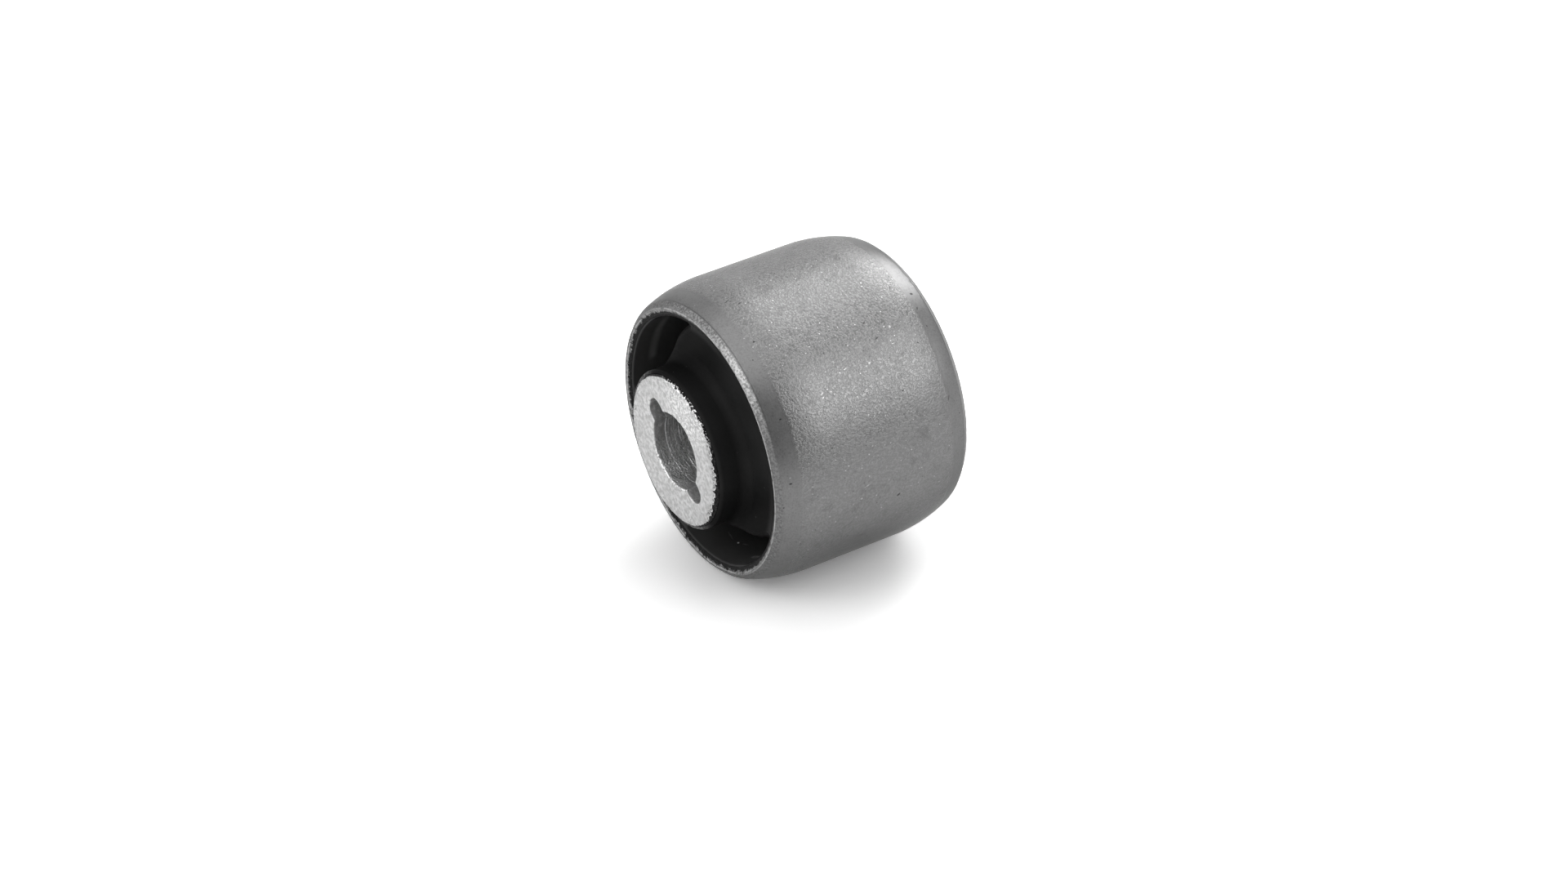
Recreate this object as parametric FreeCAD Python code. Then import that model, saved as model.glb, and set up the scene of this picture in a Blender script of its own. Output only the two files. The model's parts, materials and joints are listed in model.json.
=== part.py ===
import FreeCAD, Part
import math
import os

from FreeCAD import Vector

# Rubber-bonded metal bush, standing on the end of its inner sleeve.
# Millimetres, +Z along the bush's axis, origin at the middle of the lower end.

# Outer sleeve: a steel tube with both ends swaged inwards
OUTER_DIAMETER = 55.0
OUTER_LENGTH = 40.0
OUTER_WALL = 2.0
STRAIGHT_LENGTH = 18.6      # the cylinder between the swaged ends
SWAGE_RADIUS = 25.5         # radius of the swaged ends' outer curve
BEVEL_LENGTH = 1.1          # bevel round each end, along the axis
BEVEL_DEPTH = 1.0           # the same bevel, towards the axis
LIP_DROP = 0.6              # how far the end face falls from its outer to its inner edge

# Inner sleeve: a thick steel tube with two grooves along its bore
INNER_DIAMETER = 28.0
INNER_LENGTH = 50.0
BORE_DIAMETER = 14.2
GROOVE_WIDTH = 4.6
GROOVE_REACH = 10.1         # from the axis to the bottom of a groove
GROOVE_TURN = 10.0          # degrees from the X axis to the grooves
RIM_BREAK = 0.4             # broken edge round the outside of each end
MOUTH_BREAK = 0.25          # broken edge round the bore and its grooves

# Rubber: one moulding, bonded to both sleeves, with two curved voids right through it.
# The voids lie on the +X and -X sides, and leave a wide web towards -Y and a narrow
# one towards +Y. Their angles are measured from the X axis.
LINING = 0.3                # skin left inside the outer sleeve's lip in the voids
COAT = 0.7                  # skin on the inner sleeve, outside the web
COAT_INSET = 0.5            # from the inner sleeve's end to the end of its skin
COAT_ROUND = 0.55           # rounded edge at the end of the skin
WEB_INSET = 1.0             # from the outer sleeve's end to the web's face
INNER_FILLET = 2.0          # web to the inner sleeve's skin
OUTER_FILLET = 1.5          # width of the web's rise to the outer sleeve's lip
VOID_COVER = 0.9            # rubber left over the inner sleeve in the voids
WIDE_WEB_FLOOR = 9.0        # degrees towards +Y at which the wide web leaves a void's floor
WIDE_WEB_ROOF = 48.0        # degrees towards -Y at which it meets the outer sleeve
WIDE_WEB_BULGE = 3.7        # how far its side bulges into the void
NARROW_WEB_FLOOR = 62.0     # degrees towards +Y at which the narrow web leaves the floor
NARROW_WEB_ROOF = 55.3      # and meets the outer sleeve
VOID_CORNER = 1.6           # radius of a void's corners
VOID_TIP = 0.3              # the same at its acute corner, by the wide web and the lining
VOID_MOUTH = 1.5            # rounded edge round a void's mouth
LINING_ROUND = 0.2          # the same edge, narrower along the lining

OUTER_RADIUS = OUTER_DIAMETER / 2
INNER_RADIUS = INNER_DIAMETER / 2
BORE_RADIUS = BORE_DIAMETER / 2
GROOVE_RADIUS = GROOVE_WIDTH / 2
MIDDLE = INNER_LENGTH / 2
HALF_OUTER = OUTER_LENGTH / 2
HALF_STRAIGHT = STRAIGHT_LENGTH / 2
CURVE_CENTRE = OUTER_RADIUS - SWAGE_RADIUS


def at(radius, height):
    """A point of the section, its height measured from the bush's middle."""
    return Vector(radius, 0, height)


def swage_reach(depth, height):
    """Radius of the curve that lies depth inside the swaged surface, at this height."""
    rise = max(abs(height) - HALF_STRAIGHT, 0.0)
    return CURVE_CENTRE + math.sqrt((SWAGE_RADIUS - depth) ** 2 - rise ** 2)


def line(start, end):
    return Part.LineSegment(start, end).toShape()


def arc(start, through, end):
    return Part.Arc(start, through, end).toShape()


def swage_edge(depth, start_height, end_height):
    """An arc of the section, concentric with the swaged surface and depth inside it."""
    middle_height = (start_height + end_height) / 2
    points = [at(swage_reach(depth, h), h) for h in (start_height, middle_height, end_height)]
    return arc(*points)


def fillet_arc(corner, towards_a, towards_b, radius):
    """Start, middle and end of the arc that rounds a corner between two directions."""
    a = (towards_a - corner).normalize()
    b = (towards_b - corner).normalize()
    half = a.getAngle(b) / 2
    reach = radius / math.tan(half)
    middle = (a + b).normalize() * (radius / math.sin(half) - radius)
    return corner + a * reach, corner + middle, corner + b * reach


def revolve(face):
    """A full turn about the axis, which begins and ends at -Y, clear of the voids."""
    solid = face.revolve(Vector(0, 0, 0), Vector(0, 0, 1), 360)
    solid.rotate(Vector(0, 0, 0), Vector(0, 0, 1), -90)
    return solid


def revolve_section(half_edges):
    """Revolves a section: edges of the upper half, mirrored into the lower half."""
    upper = Part.Wire(Part.__sortEdges__(half_edges))
    lower = upper.mirror(Vector(0, 0, 0), Vector(0, 0, 1))
    wire = Part.Wire(Part.__sortEdges__(upper.Edges + lower.Edges))
    solid = revolve(Part.Face(wire))
    solid.translate(Vector(0, 0, MIDDLE))
    return solid


def lip_height():
    return HALF_OUTER - LIP_DROP


def make_outer_sleeve():
    """Barrel-shaped tube: straight middle, curved ends, bevel and tilted end face."""
    bevel_height = HALF_OUTER - BEVEL_LENGTH
    bevel = at(swage_reach(0, bevel_height), bevel_height)
    ridge = at(bevel.x - BEVEL_DEPTH, HALF_OUTER)
    lip = at(swage_reach(OUTER_WALL, lip_height()), lip_height())
    bore = OUTER_RADIUS - OUTER_WALL
    edges = [
        line(at(OUTER_RADIUS, 0), at(OUTER_RADIUS, HALF_STRAIGHT)),
        swage_edge(0, HALF_STRAIGHT, bevel_height),
        line(bevel, ridge),
        line(ridge, lip),
        swage_edge(OUTER_WALL, HALF_STRAIGHT, lip_height()),
        line(at(bore, HALF_STRAIGHT), at(bore, 0)),
    ]
    return revolve_section(edges)


def make_inner_sleeve():
    """Thick tube with broken edges and two round-bottomed grooves along its bore."""
    half = INNER_LENGTH / 2
    rim = INNER_RADIUS - RIM_BREAK
    mouth = BORE_RADIUS + MOUTH_BREAK
    edges = [
        line(at(BORE_RADIUS, 0), at(BORE_RADIUS, half - MOUTH_BREAK)),
        line(at(BORE_RADIUS, half - MOUTH_BREAK), at(mouth, half)),
        line(at(mouth, half), at(rim, half)),
        line(at(rim, half), at(INNER_RADIUS, half - RIM_BREAK)),
        line(at(INNER_RADIUS, half - RIM_BREAK), at(INNER_RADIUS, 0)),
    ]
    tube = revolve_section(edges)
    for turn in (GROOVE_TURN, GROOVE_TURN + 180):
        tube = tube.cut(groove_cutter(turn))
    return tube.removeSplitter()


def groove_cutter(turn):
    """A round-nosed bar along the bore, widened by the broken edge at both mouths."""
    bar = groove_bar(GROOVE_RADIUS, INNER_LENGTH)
    for mirrored in (False, True):
        wide = groove_outline(GROOVE_RADIUS + MOUTH_BREAK)
        narrow = groove_outline(GROOVE_RADIUS)
        narrow.translate(Vector(0, 0, -MOUTH_BREAK))
        flare = Part.makeLoft([wide, narrow], True, True)
        flare.translate(Vector(0, 0, INNER_LENGTH))
        if mirrored:
            flare = flare.mirror(Vector(0, 0, MIDDLE), Vector(0, 0, 1))
        bar = bar.fuse(flare)
    bar.rotate(Vector(0, 0, 0), Vector(0, 0, 1), turn)
    return bar


def groove_outline(radius):
    """Outline of a groove in the XY plane, from inside the bore to its round bottom."""
    nose = GROOVE_REACH - GROOVE_RADIUS
    root = BORE_RADIUS / 2
    return Part.Wire([
        line(Vector(root, -radius, 0), Vector(nose, -radius, 0)),
        arc(Vector(nose, -radius, 0), Vector(nose + radius, 0, 0), Vector(nose, radius, 0)),
        line(Vector(nose, radius, 0), Vector(root, radius, 0)),
        line(Vector(root, radius, 0), Vector(root, -radius, 0)),
    ])


def groove_bar(radius, length):
    return Part.Face(groove_outline(radius)).extrude(Vector(0, 0, length))


def rubber_section():
    """Upper half of the rubber's section: skin, fillet, web face, fillet, bonded side."""
    web_height = HALF_OUTER - WEB_INSET
    skin_end = INNER_LENGTH / 2 - COAT_INSET
    skin = INNER_RADIUS + COAT
    lip = at(swage_reach(OUTER_WALL, lip_height()), lip_height())
    round_a, round_m, round_b = fillet_arc(
        at(skin, skin_end), at(INNER_RADIUS, skin_end), at(skin, web_height), COAT_ROUND)
    root_a, root_m, root_b = fillet_arc(
        at(skin, web_height), at(skin, skin_end), at(lip.x, web_height), INNER_FILLET)
    foot = at(lip.x - OUTER_FILLET, web_height)
    climb = lip - foot
    slope = (climb.x ** 2 + climb.z ** 2) / (2 * climb.z)
    half_turn = math.atan2(climb.z, climb.x)
    bend = at(foot.x + slope * math.sin(half_turn), foot.z + slope * (1 - math.cos(half_turn)))
    bond = OUTER_RADIUS - OUTER_WALL
    return [
        line(at(INNER_RADIUS, 0), at(INNER_RADIUS, skin_end)),
        line(at(INNER_RADIUS, skin_end), round_a),
        arc(round_a, round_m, round_b),
        line(round_b, root_a),
        arc(root_a, root_m, root_b),
        line(root_b, foot),
        arc(foot, bend, lip),
        swage_edge(OUTER_WALL, HALF_STRAIGHT, lip_height()),
        line(at(bond, HALF_STRAIGHT), at(bond, 0)),
    ]


def lining_reach():
    """Radius of the lining's wall, which runs straight from lip to lip."""
    return swage_reach(OUTER_WALL, lip_height()) - LINING


def polar(radius, degrees):
    turn = math.radians(degrees)
    return Vector(radius * math.cos(turn), radius * math.sin(turn), 0)


def wide_side(foot, head):
    """The wide web's side, an arc that bulges into the void."""
    chord = head - foot
    bulge = Vector(-chord.y, chord.x, 0).normalize() * WIDE_WEB_BULGE
    return arc(foot, (foot + head) / 2 + bulge, head)


def void_outline():
    """Floor and both sides of a void in the XY plane, open past the outer sleeve."""
    floor = INNER_RADIUS + VOID_COVER
    bond = OUTER_RADIUS - OUTER_WALL
    wide_foot, wide_head = polar(floor, WIDE_WEB_FLOOR), polar(bond, -WIDE_WEB_ROOF)
    narrow_foot, narrow_head = polar(floor, NARROW_WEB_FLOOR), polar(bond, NARROW_WEB_ROOF)
    floor_middle = polar(floor, (NARROW_WEB_FLOOR + WIDE_WEB_FLOOR) / 2)
    beyond = polar(2 * OUTER_DIAMETER, (NARROW_WEB_ROOF - WIDE_WEB_ROOF) / 2)
    return Part.Wire([
        wide_side(wide_foot, wide_head),
        arc(wide_foot, floor_middle, narrow_foot),
        line(narrow_foot, narrow_head),
        line(narrow_head, beyond),
        line(beyond, wide_head),
    ])


def void_cutter():
    """A curved space along the axis, between the rubber on the sleeves and the webs."""
    block = Part.Face(void_outline()).extrude(Vector(0, 0, INNER_LENGTH))
    space = block.common(Part.makeCylinder(lining_reach(), INNER_LENGTH))
    corners = [edge for edge in space.Edges if runs_along_axis(edge) and not is_tip(edge)]
    space = space.makeFillet(VOID_CORNER, corners)
    tips = [edge for edge in space.Edges if runs_along_axis(edge) and is_tip(edge)]
    return space.makeFillet(VOID_TIP, tips)


def is_tip(edge):
    """True for the edges of a void's acute corner, by the wide web and the lining."""
    middle = edge.CenterOfMass
    return middle.y < 0 and math.hypot(middle.x, middle.y) > lining_reach() - VOID_TIP / 2


def runs_along_axis(edge):
    """True for the corner edges of a void, which run along the bush."""
    ends = [vertex.Point for vertex in edge.Vertexes]
    return len(ends) == 2 and abs(ends[0].z - ends[1].z) > BEVEL_LENGTH


def is_void_wall(face):
    """True for the walls of the voids, the only faces that stay on one side of the axis."""
    box = face.BoundBox
    return box.XMin > 0 or box.XMax < 0


def mouth_edges(shape):
    """The edges round the voids' mouths, at both ends of the moulding."""
    walls = [face for face in shape.Faces if is_void_wall(face)]
    edges = [edge for face in walls for edge in face.Edges if not runs_along_axis(edge)]
    lowest = HALF_OUTER - 2 * WEB_INSET
    return [edge for edge in edges if abs(edge.CenterOfMass.z - MIDDLE) > lowest]


def edge_round(point):
    """Radius of a mouth's rounded edge at one corner of its outline."""
    reach = math.hypot(point.x, point.y)
    return LINING_ROUND if reach > lining_reach() - LINING_ROUND else VOID_MOUTH


def round_mouths(body):
    """Rounds the voids' mouths; each edge runs evenly from one end's radius to the other's."""
    document = FreeCAD.newDocument("mouths")
    moulding = document.addObject("Part::Feature", "moulding")
    moulding.Shape = body
    rows = []
    for edge in mouth_edges(moulding.Shape):
        number = next(i for i, other in enumerate(moulding.Shape.Edges, 1) if other.isSame(edge))
        first = edge_round(edge.valueAt(edge.FirstParameter))
        last = edge_round(edge.valueAt(edge.LastParameter))
        rows.append((number, first, last))
    rounded = document.addObject("Part::Fillet", "rounded")
    rounded.Base = moulding
    rounded.Edges = rows
    document.recompute()
    return rounded.Shape


def make_rubber():
    """The moulding, with both voids cut through it and their mouths rounded."""
    body = revolve_section(rubber_section())
    cutter = void_cutter()
    other = cutter.mirror(Vector(0, 0, 0), Vector(1, 0, 0))
    return round_mouths(body.cut(cutter).cut(other))


def write_part(name, shape):
    solid = shape.Solids[0]
    print(name, "solids", len(shape.Solids), "valid", shape.isValid(), "volume", round(solid.Volume, 1))
    shape.exportStep("parts/" + name + ".step")


os.makedirs("parts", exist_ok=True)
write_part("outer_sleeve", make_outer_sleeve())
write_part("inner_sleeve", make_inner_sleeve())
write_part("rubber", make_rubber())
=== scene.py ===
import json
import math

import bmesh
import bpy
import numpy as np
from mathutils import Matrix, Vector


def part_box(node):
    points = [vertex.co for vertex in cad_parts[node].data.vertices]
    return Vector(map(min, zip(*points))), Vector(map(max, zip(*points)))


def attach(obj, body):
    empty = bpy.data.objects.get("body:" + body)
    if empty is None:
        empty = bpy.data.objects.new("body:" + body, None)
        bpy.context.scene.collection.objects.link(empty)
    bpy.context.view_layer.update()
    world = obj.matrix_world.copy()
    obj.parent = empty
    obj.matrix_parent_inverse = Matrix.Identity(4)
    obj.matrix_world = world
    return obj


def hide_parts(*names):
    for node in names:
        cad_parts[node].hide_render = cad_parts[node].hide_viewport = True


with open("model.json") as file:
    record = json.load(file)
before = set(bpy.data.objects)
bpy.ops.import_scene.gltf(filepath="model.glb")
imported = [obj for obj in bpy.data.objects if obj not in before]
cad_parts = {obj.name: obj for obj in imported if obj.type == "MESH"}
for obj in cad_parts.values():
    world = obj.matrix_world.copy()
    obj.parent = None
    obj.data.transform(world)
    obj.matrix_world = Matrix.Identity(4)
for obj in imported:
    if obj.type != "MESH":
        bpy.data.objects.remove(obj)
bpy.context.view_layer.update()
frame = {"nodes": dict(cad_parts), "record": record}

MM = 0.001
UP = Vector((0, 0, 1))

# Sizes read from the frame
OUTER_LOW, OUTER_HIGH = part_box("outer_sleeve")
INNER_LOW, INNER_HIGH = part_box("inner_sleeve")
MOUNTS = {mount["name"]: mount for mount in frame["record"]["mounts"]}
MIDDLE = (OUTER_LOW.z + OUTER_HIGH.z) / 2
HALF_OUTER = (OUTER_HIGH.z - OUTER_LOW.z) / 2
HALF_INNER = (INNER_HIGH.z - INNER_LOW.z) / 2
OUTER_RADIUS = MOUNTS["outer_seat"]["dims"]["r_mm"] * MM
HALF_STRAIGHT = MOUNTS["outer_seat"]["dims"]["length_mm"] * MM / 2
INNER_RADIUS = (INNER_HIGH.y - INNER_LOW.y) / 2
BORE_RADIUS = MOUNTS["bore"]["dims"]["r_mm"] * MM

# Outer sleeve
OUTER_WALL = 2.0 * MM
SWAGE_RADIUS = 25.5 * MM
BEVEL_LENGTH = 1.1 * MM
BEVEL_DEPTH = 1.0 * MM
LIP_DROP = 0.6 * MM
GRAIN_REACH = 15.8 * MM     # from the middle to where the dies smoothed the surface
GRAIN_DEPTH = 0.006 * MM
CUT_DEPTH = 0.03 * MM       # how uneven the bevel and the end are, across and along the axis
CUT_DROP = 0.01 * MM
LIP_LINING = 0.3 * MM       # rubber on the sleeve at its lips

# Inner sleeve
GROOVE_WIDTH = 4.6 * MM
GROOVE_REACH = 10.1 * MM
GROOVE_TURN = math.radians(10)
RIM_BREAK = 0.4 * MM
MOUTH_BREAK = 0.25 * MM
BURR_RISE = 0.09 * MM       # how far the burrs stand above the end face
WORN_SIDE = (230, 50)       # middle and half width, in degrees, of the part of the rim with pits
BURRED_SIDE = (300, 45)     # and of the part with burrs, painted bright as glints

# The ragged edge of the end face. Sizes of its teeth in mm and their shares; then how far the edge
# is cut back, in mm, and the burrs' share of their full height: everywhere, and what the worn and
# the burred side add
TEETH = ((1.5, 0.5), (0.7, 0.6), (0.33, 0.7), (0.2, 0.4))
EVEN_CUT = (0.12, 0.33, 0.08)
TOOTH_CUT = (0.09, 0.6, 0.4)
BITE_CUT = (0.0, 0.9, 0.7)
BURR_SHARE = (0.0, 0.4, 0.9)
# Out from the edge and down from the face, in mm; in from the edge, in mm, and share of the burr
EDGE_PROFILE = ((0.16, 0.17), (0.09, 0.13), (0.03, 0.03))
BURR_PROFILE = ((0.02, 1.0), (0.08, 0.8), (0.16, 0.2), (0.26, 0.0))

# The photo's camera: from -Y, above the plane across the axis, and turned on its side
CAMERA_ELEVATION = math.radians(26.38)
CAMERA_ROLL = math.radians(-110.53)
CAMERA_DISTANCE = 825 * MM
CAMERA_LENS = 107.24
CAMERA_CLIP = 0.01
BUSH_RIGHT = 1.82 * MM      # where the bush's middle stands in the picture
BUSH_ABOVE = 6.05 * MM

# The table that the bush lies on: its upward direction, as an angle round the bush's axis
TABLE_TURN = math.radians(-40.13)
CENTRE = Vector((0, 0, MIDDLE))
TABLE_HALF = 2.5            # metres
TABLE_GLOW = 0.14           # light through the table's sheet, for the barrel's underside
TABLE_WHITE = 0.97
TABLE_WHITE_SEEN = 1.5      # to the camera, so that the table is white away from the bush

# The surround, and its dimmer part behind the photographer, which the metal mirrors
FILL = 0.45
DIM_PART = (0.35, 0.8, 0.5)
DIM_CORE, DIM_EDGE = math.radians(12), math.radians(42)
DIM_LEVEL = 0.4

# Name, direction in the studio, distance and size in metres, and radiance of each soft light
SOFTBOXES = [
    ("front_right", (-0.5, 0.62, 0.53), 0.7, (0.5, 0.5), 1.8),
    ("back_right", (-0.65, -0.4, 0.65), 0.7, (0.5, 0.5), 1.9),
    ("back_right_small", (-0.77, -0.42, 0.47), 0.7, (0.3, 0.3), 3.2),
    ("back_low", (-0.44, -0.88, 0.14), 0.7, (0.35, 0.3), 1.0),
    ("overhead", (0.1, -0.1, 1), 0.8, (0.8, 0.8), 0.6),
    ("left", (0.79, 0.0, 0.6), 0.7, (0.35, 0.35), 3.5),
]


def studio(along, front, up):
    """A direction in the studio: along the bush's axis, across it to the front, and up."""
    up_axis = Vector((math.cos(TABLE_TURN), math.sin(TABLE_TURN), 0))
    front_axis = Vector((math.sin(TABLE_TURN), -math.cos(TABLE_TURN), 0))
    return UP * along + front_axis * front + up_axis * up


def facing(direction, upward):
    """A rotation whose local Z points along direction, and local Y towards upward."""
    back = direction.normalized()
    right = upward.cross(back).normalized()
    return Matrix((right, back.cross(right), back)).transposed().to_4x4()


# Meshes

LATTICE = 64            # cells of random values before they repeat
BARREL_AROUND = 600     # points around the axis
TUBE_AROUND = 900
SWAGE_RINGS, LINER_RINGS = 50, 9
FACE_RINGS, BORE_RINGS, SIDE_RINGS = 16, 12, 4


def smooth_noise(points, size, seed):
    """Smooth random values from -1 to 1, with lumps of about that size."""
    lattice = np.random.default_rng(seed).uniform(-1, 1, (LATTICE, LATTICE, LATTICE))
    scaled = points / size
    cell = np.floor(scaled).astype(int)
    part = scaled - cell
    part = part * part * (3 - 2 * part)
    total = np.zeros(len(points))
    for corner in np.ndindex(2, 2, 2):
        share = np.prod(np.where(corner, part, 1 - part), axis=1)
        i, j, k = ((cell + corner) % LATTICE).T
        total += share * lattice[i, j, k]
    return total


def ring_mesh(name, rings):
    """A closed skin through rings of points; the last ring joins the first."""
    count, around, _ = rings.shape
    index = np.arange(count * around).reshape(count, around)
    nearer = np.roll(index, -1, axis=0)
    corners = [index, np.roll(index, -1, axis=1), np.roll(nearer, -1, axis=1), nearer]
    faces = np.stack(corners, axis=-1).reshape(-1, 4)
    mesh = bpy.data.meshes.new(name)
    mesh.from_pydata(rings.reshape(-1, 3).tolist(), [], faces.tolist())
    solid = bmesh.new()
    solid.from_mesh(mesh)
    bmesh.ops.recalc_face_normals(solid, faces=solid.faces)
    solid.to_mesh(mesh)
    solid.free()
    return mesh


def add_piece(name, mesh, material, sharp_angle=40):
    """A visible piece, shaded smoothly but for edges sharper than that angle."""
    mesh.shade_smooth()
    mesh.set_sharp_from_angle(angle=math.radians(sharp_angle))
    mesh.materials.append(material)
    piece = bpy.data.objects.new(name, mesh)
    bpy.context.scene.collection.objects.link(piece)
    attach(piece, "root")
    return piece


def run(start, end, step):
    """Points of a line from start up to, not including, end, about step apart."""
    start, end = np.array(start), np.array(end)
    count = max(1, round(np.linalg.norm(end - start) / step))
    return [start + (end - start) * i / count for i in range(count)]


def eased(points, corner, radius):
    """The outline with one sharp corner replaced by a short curve."""
    points = [np.array(p) for p in points]
    off = [np.linalg.norm(p - corner) for p in points]
    near = [i for i in range(len(points)) if off[i] < radius] + [int(np.argmin(off))]
    before, after = points[min(near) - 1], points[max(near) + 1]
    start = corner + (before - corner) / np.linalg.norm(before - corner) * radius
    end = corner + (after - corner) / np.linalg.norm(after - corner) * radius
    curve = [(1 - t) ** 2 * start + 2 * t * (1 - t) * corner + t * t * end
             for t in np.linspace(0, 1, 5)]
    return points[:min(near)] + curve + points[max(near) + 1:]


def swage_reach(depth, height):
    """Distance from the axis to the sleeve at a depth below its outside and a height."""
    rise = max(abs(height) - HALF_STRAIGHT, 0)
    centre = OUTER_RADIUS - SWAGE_RADIUS
    return centre + math.sqrt((SWAGE_RADIUS - depth) ** 2 - rise ** 2)


BEVEL_START = HALF_OUTER - BEVEL_LENGTH
LIP_HEIGHT = HALF_OUTER - LIP_DROP
RIDGE_REACH = swage_reach(0, BEVEL_START) - BEVEL_DEPTH
LIP_REACH = swage_reach(OUTER_WALL, LIP_HEIGHT)
VOID_REACH = LIP_REACH - LIP_LINING


def outer_outline():
    """The sleeve's closed section, as (radius, height above its middle)."""
    ridge = np.array((RIDGE_REACH, HALF_OUTER))
    lip = np.array((LIP_REACH, LIP_HEIGHT))
    outside = [np.array((swage_reach(0, h), h)) for h in np.linspace(0, BEVEL_START, SWAGE_RINGS)]
    inside = [np.array((swage_reach(OUTER_WALL, h), h))
              for h in np.linspace(LIP_HEIGHT, 0, LINER_RINGS)]
    upper = outside[:-1] + run(outside[-1], ridge, 0.18 * MM) + run(ridge, lip, 0.2 * MM) + inside
    for corner, radius in ((outside[-1], 0.25 * MM), (ridge, 0.2 * MM), (lip, 0.15 * MM)):
        upper = eased(upper, corner, radius)
    lower = [np.array((r, -h)) for r, h in reversed(upper[1:-1])]
    return np.array(upper + lower)


def revolved(outline, around):
    """Rings along the outline, each of a number of points around the axis."""
    turn = np.linspace(0, 2 * math.pi, around, endpoint=False)
    reach, height = outline[:, :1], outline[:, 1:]
    return np.stack([reach * np.cos(turn), reach * np.sin(turn),
                     np.broadcast_to(MIDDLE + height, (len(outline), around))], axis=-1)


def make_outer_sleeve(material):
    """The sleeve with fine dents in its grain and uneven cut ends."""
    rings = revolved(outer_outline(), BARREL_AROUND)
    points = rings.reshape(-1, 3)
    height = np.abs(points[:, 2] - MIDDLE)
    reach = np.hypot(points[:, 0], points[:, 1])
    outside = reach > OUTER_RADIUS - OUTER_WALL
    cut_end = np.clip((height - HALF_OUTER + 1.5 * BEVEL_LENGTH) / (0.5 * BEVEL_LENGTH), 0, 1)
    rough = smooth_noise(points, 0.55 * MM, 1) + 0.6 * smooth_noise(points, 0.3 * MM, 2)
    shift = -CUT_DEPTH * cut_end * (1 + rough)
    grained = np.clip((GRAIN_REACH - height) / (0.4 * MM), 0, 1) * outside
    shift -= GRAIN_DEPTH * grained * (1 + smooth_noise(points, 0.6 * MM, 3))
    shift *= outside | (height > LIP_HEIGHT - 0.1 * MM)
    points[:, :2] *= (1 + shift / reach)[:, None]
    drop = CUT_DROP * cut_end * (1 + rough)
    points[:, 2] = MIDDLE + np.sign(points[:, 2] - MIDDLE) * (height - drop)
    piece = add_piece("barrel", ring_mesh("barrel", rings), material)
    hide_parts("outer_sleeve")


def bore_reach(turn):
    """Distance from the axis to the wall of the bore and its grooves, at these angles."""
    off = np.abs((turn - GROOVE_TURN + math.pi / 2) % math.pi - math.pi / 2)
    half = GROOVE_WIDTH / 2
    nose = GROOVE_REACH - half
    side = half / np.maximum(np.sin(off), 1e-9)
    inside = half ** 2 - (nose * np.sin(off)) ** 2
    end = nose * np.cos(off) + np.sqrt(np.maximum(inside, 0))
    on_nose = (inside > 0) & (np.tan(off) * nose <= half)
    groove = np.where(on_nose, end, side)
    in_groove = off < math.asin(half / BORE_RADIUS)
    return np.where(in_groove, np.maximum(groove, BORE_RADIUS), BORE_RADIUS)


def groove_turns(around):
    """Angles around the axis, packed more closely at the corners of the grooves."""
    corner = math.asin(GROOVE_WIDTH / 2 / BORE_RADIUS)
    turns = list(np.linspace(0, 2 * math.pi, around, endpoint=False))
    for middle in (GROOVE_TURN, GROOVE_TURN + math.pi):
        for edge in (middle - corner, middle + corner):
            turns += [edge + math.radians(d) for d in (-0.25, -0.08, 0.08, 0.25)]
    return np.array(sorted(t % (2 * math.pi) for t in turns))


def round_share(turn, middle, half_width):
    """1 at one angle in degrees, falling to 0 to either side of it."""
    off = np.abs((np.degrees(turn) - middle + 180) % 360 - 180)
    share = np.clip(1.3 - 1.3 * off / half_width, 0, 1)
    return share * share * (3 - 2 * share)


def face_edge(turn, seed):
    """Distance from the axis to the ragged edge of the tube's end face, and the burrs' share."""
    seeds = np.full(len(turn), seed)
    places = np.column_stack([np.cos(turn), np.sin(turn), seeds]) * INNER_RADIUS
    uneven = turn + 0.7 * MM / INNER_RADIUS * smooth_noise(places, 0.9 * MM, 3)
    places = np.column_stack([np.cos(uneven), np.sin(uneven), seeds]) * INNER_RADIUS
    teeth = sum(share * smooth_noise(places, size * MM, 5 * seed + k)
                for k, (size, share) in enumerate(TEETH))
    worn = round_share(turn, *WORN_SIDE)
    burred = round_share(turn, *BURRED_SIDE)
    bites = np.clip(smooth_noise(places, 1.0 * MM, 7 + seed) - 0.3, 0, 1)

    def by_side(everywhere, on_worn, on_burred):
        return everywhere + on_worn * worn + on_burred * burred

    cut_back = by_side(*EVEN_CUT)
    cut_back += by_side(*TOOTH_CUT) * np.clip(teeth, -0.7, 1.1)
    cut_back += by_side(*BITE_CUT) * bites
    burr = by_side(*BURR_SHARE) * np.clip(teeth + 0.5, 0, 1.1)
    return INNER_RADIUS - RIM_BREAK / 2 - np.maximum(cut_back, 0) * MM, burr


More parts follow.
